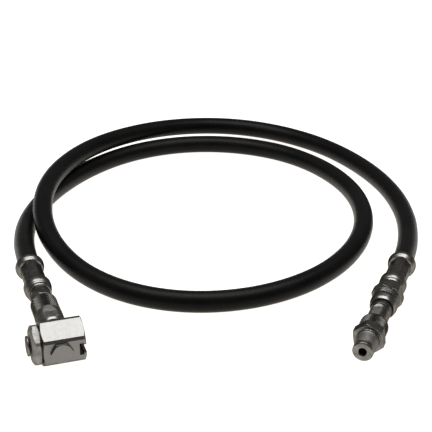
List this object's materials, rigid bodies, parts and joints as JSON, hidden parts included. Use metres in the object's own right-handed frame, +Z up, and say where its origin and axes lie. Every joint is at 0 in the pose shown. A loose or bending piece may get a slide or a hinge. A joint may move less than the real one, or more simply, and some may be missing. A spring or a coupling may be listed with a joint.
{
  "type": "hydraulic hose assembly",
  "caption": "Coiled braided rubber grease hose with a live-swivel tapered pipe nose on one end and a swivelling side-inlet button-head coupler on the other.",
  "frame": {"origin": "on the surface it lies on, under the middle of the box round the two end fittings", "axes": "+Z up from the resting surface; +X from the button-head coupler towards the pipe nose; +Y from the fittings towards the far side of the hose loop"},
  "size_m": [0.3576, 0.4811, 0.0362],
  "materials": {
    "hose_rubber": "smooth black cover, semi-gloss",
    "braid_wire": "braided high tensile wire",
    "tube_rubber": "oil resistant synthetic rubber",
    "ferrule_steel": "zinc plated, satin, crimp polished",
    "fitting_steel": "zinc plated, fine turned",
    "knurled_steel": "diamond knurled, satin",
    "body_steel": "plated hexagon bar, satin flats",
    "hardened_steel": "ground",
    "spring_steel": "bright wire",
    "seal_rubber": "moulded nitrile",
    "soft_washer": "dark bonded steel and rubber"
  },
  "bodies": {
    "hose_assembly": {"hose_cover": "hose_rubber", "wire_braid": "braid_wire", "inner_tube": "tube_rubber", "coupler_ferrule": "ferrule_steel", "coupler_hose_stem": "fitting_steel", "coupler_swivel_o_ring": "seal_rubber", "nose_ferrule": "ferrule_steel", "nose_hose_stem": "fitting_steel", "swivel_housing": "fitting_steel", "dust_wiper": "seal_rubber", "retaining_ring": "spring_steel"},
    "coupler_head": {"swivel_sleeve": "knurled_steel", "coupler_swivel_balls": "hardened_steel", "inlet_washer": "soft_washer", "coupler_body": "body_steel", "rear_cap": "body_steel", "cap_washer": "soft_washer", "stem_seal": "seal_rubber", "side_plug": "body_steel", "side_plug_seal": "seal_rubber", "piston_spring": "spring_steel"},
    "seal_piston": {"seal_piston": "hardened_steel", "face_seal": "seal_rubber", "piston_o_ring": "seal_rubber", "release_knob": "body_steel"},
    "nose_end": {"nose_adapter": "fitting_steel", "knurled_collar": "knurled_steel", "nose_spindle": "fitting_steel", "adapter_washer": "soft_washer", "nose_swivel_o_ring": "seal_rubber", "nose_swivel_balls": "hardened_steel"}
  },
  "joints": [
    {"name": "coupler_swivel", "type": "hinge", "parent": "hose_assembly", "child": "coupler_head", "pos_m": [-0.11382, -0.05736, 0.01764], "axis": [-0.3127, 0.9499, 0], "continuous": true},
    {"name": "seal_piston_slide", "type": "slide", "parent": "coupler_head", "child": "seal_piston", "axis": [0.9499, 0.3127, 0], "range_m": [-0.003, 0], "stiffness_N_per_m": 1400, "springref_m": 0.003, "deforming": ["piston_spring"]},
    {"name": "nose_swivel", "type": "hinge", "parent": "hose_assembly", "child": "nose_end", "pos_m": [0.1041, -0.06421, 0.0126], "axis": [0.3382, 0.9411, 0], "continuous": true}
  ]
}
